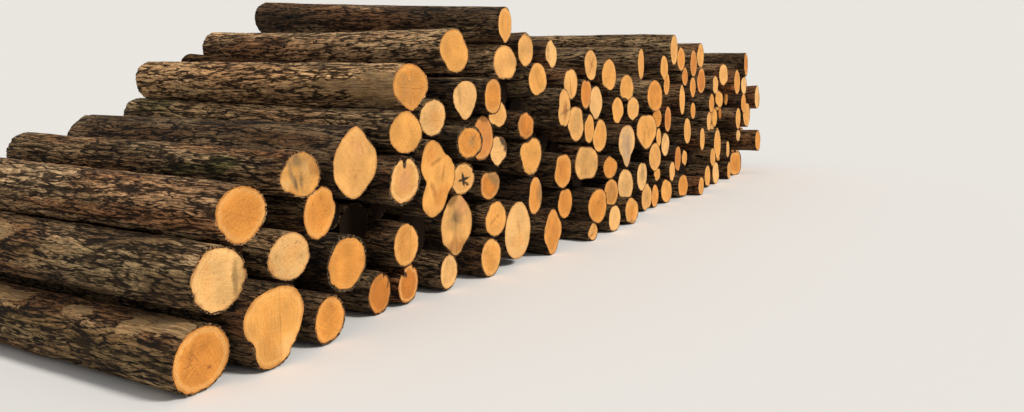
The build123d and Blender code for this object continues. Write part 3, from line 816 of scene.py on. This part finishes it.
def node_piece(node, logs, grid, finishes):
    """One mesh of all the logs of a node."""
    points, quads, fans, materials, columns = [], [], [], [], {}
    first = 0
    for place, (number, log) in enumerate(logs):
        name = node if len(logs) == 1 else f"{node}_{place}"
        rows, ends, sawn, fields = log_surface(log, name, number, grid)
        own_quads, own_material, own_fans = skin(rows, sawn, first)
        points.append(np.vstack([rows.reshape(-1, 3), *ends]))
        quads.append(own_quads)
        fans.append(own_fans)
        materials.append(own_material)
        for key, field in fields.items():
            columns.setdefault(key, []).append(spread(field))
        first += len(points[-1])
    points, quads, fans = np.vstack(points), np.vstack(quads), np.vstack(fans)
    mesh = bpy.data.meshes.new(node + "_log")
    mesh.vertices.add(len(points))
    mesh.vertices.foreach_set("co", points.astype(np.float32).ravel())
    mesh.loops.add(quads.size + fans.size)
    mesh.loops.foreach_set("vertex_index", np.concatenate([quads.ravel(), fans.ravel()]).astype(np.int32))
    mesh.polygons.add(len(quads) + len(fans))
    starts = np.concatenate([np.arange(len(quads)) * 4, quads.size + np.arange(len(fans)) * 3])
    mesh.polygons.foreach_set("loop_start", starts.astype(np.int32))
    wood_index = np.concatenate([*materials, np.zeros(len(fans), np.int32)])
    mesh.polygons.foreach_set("material_index", wood_index.astype(np.int32))
    mesh.polygons.foreach_set("use_smooth", np.ones(len(wood_index), bool))
    mesh.update(calc_edges=True)
    mesh.set_sharp_from_angle(angle=math.radians(SHARP_EDGE))
    for key, column in columns.items():
        values = np.vstack(column)
        kind, slot = ("FLOAT", "value") if values.shape[1] == 1 else ("FLOAT_VECTOR", "vector")
        attribute = mesh.attributes.new(key, kind, "POINT")
        attribute.data.foreach_set(slot, values.astype(np.float32).ravel())
    for finish in finishes:
        mesh.materials.append(finish)
    return put(node + "_dressed", mesh)


class Finish:
    """The nodes of a material or a world: adds them one by one and joins them up."""

    def __init__(self, owner):
        owner.use_nodes = True
        self.owner = owner
        self.tree = owner.node_tree
        self.tree.nodes.clear()

    def node(self, kind, inputs=(), out=0, **settings):
        """Adds a node, sets its settings and inputs, by name or number, and gives back one output."""
        made = self.tree.nodes.new("ShaderNode" + kind)
        for name, value in settings.items():
            setattr(made, name, value)
        pairs = inputs.items() if isinstance(inputs, dict) else enumerate(inputs)
        for name, value in pairs:
            if isinstance(value, bpy.types.NodeSocket):
                self.tree.links.new(value, made.inputs[name])
            elif value is not None:
                made.inputs[name].default_value = value
        return made.outputs[out] if made.outputs else None

    def math(self, operation, a, b=None):
        return self.node("Math", (a, b), operation=operation)

    def plus(self, a, b):
        return self.math("ADD", a, b)

    def minus(self, a, b):
        return self.math("SUBTRACT", a, b)

    def times(self, a, b):
        return self.math("MULTIPLY", a, b)

    def away(self, value, middle=0.5):
        """How far a value is from a middle one, to either side."""
        return self.math("ABSOLUTE", self.minus(value, middle))

    def vector(self, operation, a, b):
        return self.node("VectorMath", (a, b), operation=operation)

    def split(self, vector):
        """The three parts of a vector."""
        return self.node("SeparateXYZ", (vector,)).node.outputs

    def turned(self, where, angle):
        """A place turned round Z."""
        return self.node("VectorRotate", {"Vector": where, "Angle": angle}, rotation_type="Z_AXIS")

    def attribute(self, name, out):
        return self.node("Attribute", out=out, attribute_name=name)

    def noise(self, where, scale, detail=2.0, roughness=0.5, out=0, dimensions="3D"):
        made = {"Scale": scale, "Detail": detail, "Roughness": roughness}
        made["W" if dimensions == "1D" else "Vector"] = where
        return self.node("TexNoise", made, out=out, noise_dimensions=dimensions)

    def drawn(self, where, factors, *texture, **choice):
        """Noise at a place whose three parts are multiplied, so that it is drawn out along the smallest."""
        return self.noise(self.vector("MULTIPLY", where, factors), *texture, **choice)

    def mix(self, share, a, b, blend="MIX"):
        """Mixes two colours."""
        return self.node("Mix", {0: share, 6: a, 7: b}, out=2, data_type="RGBA", blend_type=blend)

    def tinted(self, colour, tint, share=1.0):
        """A colour multiplied by a tint, by a share."""
        return self.mix(share, colour, colour4(tint), "MULTIPLY")

    def between(self, value, low, high, start=0.0, end=1.0):
        """A value's way from low to high as a way from start to end, smoothed."""
        inputs = {0: value, 1: low, 2: high, 3: start, 4: end}
        return self.node("MapRange", inputs, interpolation_type="SMOOTHSTEP")

    def close(self, colour, roughness, gloss, bump=None):
        """Ends in a shader, with a bump of a height, strength and distance where one is given."""
        inputs = {"Base Color": colour, "Roughness": roughness, "Specular IOR Level": gloss}
        if bump:
            inputs["Normal"] = self.node("Bump", dict(zip(("Height", "Strength", "Distance"), bump)))
        self.node("OutputMaterial", {"Surface": self.node("BsdfPrincipled", inputs)})
        return self.owner


def colour4(colour, share=1.0):
    return (*[part * share for part in colour], 1.0)


def bark_finish(name, gloss):
    """Furrowed bark: wavy fibres drawn out along the log between furrows darkened as painted shade, on the
    point's own colour, with crests lightened partly as paler weathered bark and partly as painted highlight,
    and bare wood where the bark is off."""
    f = Finish(bpy.data.materials.new(name))
    place = f.node("TexCoord", out="Object")
    slow = f.vector("SUBTRACT", f.drawn(place, (1.0, 0.55, 1.0), 6.5, out="Color"), (0.5, 0.5, 0.5))
    quick = f.vector("SUBTRACT", f.drawn(place, (1.0, 0.4, 1.0), 30.0, out="Color"), (0.5, 0.5, 0.5))
    bent = f.vector("ADD", place, f.vector("MULTIPLY", slow, (0.055, 0.03, 0.055)))
    bent = f.vector("ADD", bent, f.vector("MULTIPLY", quick, (0.01, 0.016, 0.01)))

    def furrows(across, along, width):
        """0 along the lines where drawn-out noise passes its middle, and 1 away from them."""
        drawn = f.drawn(bent, (across, along, across), 1.0, 2.0, 0.55)
        return f.between(f.away(drawn), 0.0, width)

    deep = furrows(22.0, 2.4, 0.07)
    fine = furrows(60.0, 5.0, 0.085)
    hair = f.drawn(bent, (150.0, 12.0, 150.0), 1.0, 3.0, 0.62)
    grit = f.noise(place, 170.0, 3.0, 0.65)
    height = f.attribute("height", "Fac")
    crest = f.times(f.between(deep, 0.0, 1.0, 0.15, 1.0), f.between(fine, 0.0, 1.0, 0.4, 1.0))
    crest = f.times(crest, f.between(height, 0.05, 0.65, 0.22, 1.0))
    crest = f.times(crest, f.between(hair, 0.25, 0.7, 0.55, 1.15))
    own = f.attribute("bark", "Color")
    # Painted shade and highlight: the furrows go near black, and the crests and their flecks several times
    # lighter, partly the paler weathered bark of the crests
    dark = f.tinted(own, (0.08, 0.07, 0.062))
    light = f.tinted(own, (3.5, 3.4, 3.2))
    bark = f.mix(f.between(crest, 0.12, 0.98), dark, light)
    flecks = f.between(f.drawn(place, (1.0, 0.45, 1.0), 34.0, 3.0, 0.7), 0.5, 0.68, 0.0, 0.85)
    bark = f.mix(f.times(flecks, crest), bark, f.tinted(own, (4.6, 4.7, 4.6)))
    soil = f.between(f.noise(place, 11.0, 3.0, 0.6), 0.5, 0.7, 0.0, 0.45)
    bark = f.mix(soil, bark, f.tinted(own, (0.5, 0.42, 0.36)))

    # Bare wood: streaks along the log, slanting rows of tool marks, grey and red remains of inner bark
    streaks = f.drawn(bent, (130.0, 5.0, 130.0), 1.0, 4.0, 0.62)
    bare = f.mix(f.between(streaks, 0.34, 0.66), colour4(TAN, 0.28), colour4(TAN, 1.15))
    x, y = f.split(place)[:2]
    slant = f.plus(f.times(y, 46.0), f.times(x, 30.0))
    slant = f.plus(slant, f.times(f.noise(place, 9.0), 1.6))
    chop = f.between(f.away(f.math("FRACT", slant)), 0.3, 0.46)
    chop = f.times(chop, f.between(f.noise(place, 6.0), 0.48, 0.66, 0.0, 0.6))
    bare = f.mix(chop, bare, colour4(TAN, 0.24))
    grey = f.between(f.noise(place, 12.0, 3.0, 0.6), 0.48, 0.68, 0.0, 0.65)
    bare = f.mix(grey, bare, colour4(BARK_SILVER, 0.85))
    red = f.between(f.noise(place, 24.0, 3.0, 0.7), 0.55, 0.72, 0.0, 0.7)
    bare = f.mix(red, bare, colour4(BARK_RED, 0.8))

    # The bark ends in a torn edge, with a dark line along it as a painted shadow of the bark's thickness
    flakes = f.drawn(bent, (1.0, 0.4, 1.0), 34.0, 5.0, 0.65)
    torn = f.plus(f.attribute("peel", "Fac"), f.times(f.minus(streaks, 0.5), 0.6))
    torn = f.plus(torn, f.times(f.minus(flakes, 0.52), 1.7))
    peel = f.between(torn, 0.44, 0.54)
    colour = f.mix(peel, bark, bare)
    edge = f.between(f.away(torn, 0.45), 0.0, 0.07, 0.75, 0.0)
    colour = f.mix(edge, colour, colour4(BARK_DARK, 0.5))
    barked = f.plus(crest, f.times(grit, 0.3))
    rise = f.node("Mix", {0: peel, 2: barked, 3: f.times(streaks, 0.45)})
    return f.close(colour, 0.93, gloss, (rise, 1.0, 0.026))


def wood_finish(name, gloss):
    """A sawn face: faint rings that follow the outline, speckled grain, saw marks and radial checks, on the
    point's own colour."""
    f = Finish(bpy.data.materials.new(name))
    plan = f.attribute("plan", "Vector")
    ring = f.attribute("ring", "Fac")
    own = f.attribute("wood", "Color")
    x, z, number = f.split(plan)
    line_shows, checks, scratches = f.split(f.attribute("traits", "Vector"))
    cut_x, cut_z, cut_at = f.split(f.attribute("cut", "Vector"))
    offset = f.node("CombineXYZ", (f.times(number, 1.37), f.times(number, 0.71), 0.0))
    place = f.vector("ADD", plan, offset)
    waver = f.minus(f.noise(place, 9.0), 0.5)
    warped = f.plus(ring, f.times(waver, 0.02))
    count = f.math("DIVIDE", warped, RING_WIDTH)
    wave = f.math("SINE", f.times(count, 2 * math.pi))
    bands = f.plus(f.times(warped, 90.0), f.times(number, 3.7))
    bands = f.noise(bands, 1.0, 3.0, 0.6, dimensions="1D")
    tone = f.plus(f.times(wave, 0.03), f.between(bands, 0.25, 0.75, -0.07, 0.07))
    grain = f.noise(place, 95.0, 4.0, 0.7)
    tone = f.plus(tone, f.between(grain, 0.3, 0.7, -0.1, 0.1))
    saw = f.drawn(f.turned(place, f.times(number, 2.4)), (150.0, 6.0, 1.0), 1.0)
    tone = f.plus(tone, f.between(saw, 0.3, 0.7, -0.08, 0.08))

    # Where two saw cuts meet, a line crosses the face and the tone steps
    beyond = f.plus(f.times(x, cut_x), f.times(z, cut_z))
    beyond = f.plus(f.minus(beyond, cut_at), f.times(waver, 0.006))
    tone = f.plus(tone, f.times(f.between(beyond, -0.001, 0.001, -0.07, 0.07), line_shows))
    line = f.times(f.between(f.math("ABSOLUTE", beyond), 0.0007, 0.0024, 1.0, 0.0), line_shows)
    share = f.plus(1.0, tone)
    lit = f.mix(1.0, own, f.node("CombineColor", (share, share, share)), "MULTIPLY")

    blots = f.between(f.noise(place, 19.0, 5.0, 0.7), 0.5, 0.75, 0.0, 0.42)
    lit = f.tinted(lit, (0.74, 0.56, 0.42), blots)
    pale = f.between(f.noise(place, 27.0, 4.0, 0.65), 0.52, 0.75, 0.0, 0.42)
    lit = f.tinted(lit, (1.1, 1.34, 1.8), pale)
    dirt = f.between(f.noise(place, 60.0, 4.0, 0.75), 0.6, 0.74, 0.0, 0.4)
    lit = f.tinted(lit, (0.42, 0.32, 0.26), dirt)

    # Brown scratches: the lines where noise drawn out across the face passes its middle, in places only
    drawn_out = f.drawn(f.turned(place, -0.73), (12.0, 40.0, 1.0), 1.0)
    scratch = f.between(f.away(drawn_out), 0.004, 0.028, 1.0, 0.0)
    scratch = f.times(scratch, f.between(f.noise(place, 14.0), 0.5, 0.58))
    scratch = f.times(scratch, f.times(scratches, 0.85))
    lit = f.tinted(lit, (0.38, 0.28, 0.22), scratch)

    # Radial checks: in some sectors round the pith a dark line, from its own begin to its own reach
    angle = f.plus(f.math("ARCTAN2", z, x), f.times(waver, 0.7))
    sector = f.times(angle, SECTORS / (2 * math.pi))
    aside = f.away(f.math("FRACT", sector))
    gap = f.times(f.times(aside, 2 * math.pi / SECTORS), ring)
    key = f.node("CombineXYZ", (f.math("FLOOR", sector), number, 0.0))
    drawn = f.node("TexWhiteNoise", {"Vector": key}, noise_dimensions="3D")
    wide = f.plus(0.0018, f.times(f.math("POWER", checks, 3.0), 0.011))
    check = f.between(gap, 0.0003, wide, 1.0, 0.0)
    check = f.times(check, f.math("GREATER_THAN", drawn, 0.4))
    begin = f.times(f.math("FRACT", f.times(drawn, 7.0)), 0.05)
    reach = f.times(drawn, 0.17)
    check = f.times(check, f.between(f.minus(ring, reach), -0.03, 0.02, 1.0, 0.0))
    check = f.times(check, f.between(f.minus(ring, begin), 0.0, 0.015))
    check = f.times(check, f.math("MINIMUM", f.times(checks, 1.3), 1.0))
    heart = f.between(ring, 0.001, 0.008, 0.45, 0.0)
    dark = f.math("MAXIMUM", f.math("MAXIMUM", check, heart), f.times(line, 0.75))
    lit = f.tinted(lit, (0.12, 0.09, 0.07), dark)
    rise = f.minus(f.times(f.plus(grain, saw), 0.5), dark)
    return f.close(lit, 0.8, gloss, (rise, 0.5, 0.003))


fresh = (wood_finish("sawn wood", 0.3), bark_finish("furrowed bark", 0.2))
# Shaded copies of the finishes, with little gloss, for the logs whose faces and bark are painted dark as
# shade in the heap's gaps
shaded_finishes = (wood_finish("shaded copy of sawn wood", 0.05), bark_finish("shaded copy of furrowed bark", 0.05))
number = 0
for node in sorted(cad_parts):
    corners, triangles = merged(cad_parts[node].data)
    waves = WAVES if node.startswith("bay_") else NEAR_WAVES
    logs = []
    for own in separate(corners, triangles):
        number += 1
        logs.append((number, measured(corners, own, waves)))
    if node == "corner_log":
        front_of_corner = logs[0][1]["front"][0]
    piece = node_piece(node, logs, grid_of(node), shaded_finishes if hidden_face(node) else fresh)
    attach(piece, "root")
    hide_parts(node)

# Light: a soft sun before the faces and an even sky
SKY = 0.44
SUN = 2.5
SUN_TURN = (50.0, 0.0, 6.0)
SUN_WIDTH = 14.0
SUN_COLOUR = (1.0, 0.96, 0.9)
FLOOR_COLOUR = (0.86, 0.85, 0.83)
sun_data = bpy.data.lights.new("sun", "SUN")
sun_data.energy = SUN
sun_data.angle = math.radians(SUN_WIDTH)
sun_data.color = SUN_COLOUR
sun = put("sun", sun_data)
sun.rotation_euler = [math.radians(turn) for turn in SUN_TURN]


def pale_world():
    """An even sky that lights the heap, and shows behind it in the tone of the floor in this light."""
    f = Finish(bpy.data.worlds.new("world"))
    path = f.node("LightPath").node.outputs
    seen = f.math("MAXIMUM", path["Is Camera Ray"], path["Is Glossy Ray"])
    seen = f.math("MAXIMUM", seen, path["Is Transmission Ray"])
    slant = math.cos(math.radians(SUN_TURN[0]))
    level = [own * (SKY + SUN * part * slant / math.pi) for own, part in zip(FLOOR_COLOUR, SUN_COLOUR)]
    sky = f.node("Background", {"Color": colour4((1.0, 1.0, 1.0)), "Strength": SKY})
    backdrop = f.node("Background", {"Color": colour4(level)})
    f.node("OutputWorld", {"Surface": f.node("MixShader", (seen, sky, backdrop))})
    bpy.context.scene.world = f.owner


def pale_floor():
    """A wide pale floor that keeps the heap's shadow."""
    reach = 300.0
    ground = bpy.data.meshes.new("floor")
    corners = [(-reach, -reach, 0), (reach, -reach, 0), (reach, reach, 0), (-reach, reach, 0)]
    ground.from_pydata(corners, [], [(0, 1, 2, 3)])
    f = Finish(bpy.data.materials.new("pale floor"))
    ground.materials.append(f.close(colour4(FLOOR_COLOUR), 1.0, 0.0))
    floor = put("floor", ground)


pale_world()
pale_floor()

# Camera: at standing eye height before the near end, looking level along the heap, with the view shifted down
EYE_HEIGHT = 1.7
FOCAL_PIXELS = 800.0
PICTURE_WIDTH = 1024.0
PICTURE_HEIGHT = 412.0
HORIZON_ROW = 85.0
BEFORE_CORNER = (-3.017, -3.657)
LOOK = (0.872, 0.489)
SENSOR = 36.0
camera_data = bpy.data.cameras.new("camera")
camera_data.sensor_width = SENSOR
camera_data.lens = SENSOR * FOCAL_PIXELS / PICTURE_WIDTH
camera_data.shift_y = -(PICTURE_HEIGHT / 2 - HORIZON_ROW) / PICTURE_WIDTH
camera_data.clip_end = 200.0
camera = put("camera", camera_data)
camera.location = (front_of_corner[0] + BEFORE_CORNER[0], front_of_corner[1] + BEFORE_CORNER[1], EYE_HEIGHT)
camera.rotation_euler = (math.radians(90), 0, math.atan2(LOOK[1], LOOK[0]) - math.pi / 2)
bpy.context.scene.camera = camera

bpy.context.scene.view_settings.view_transform = "Standard"
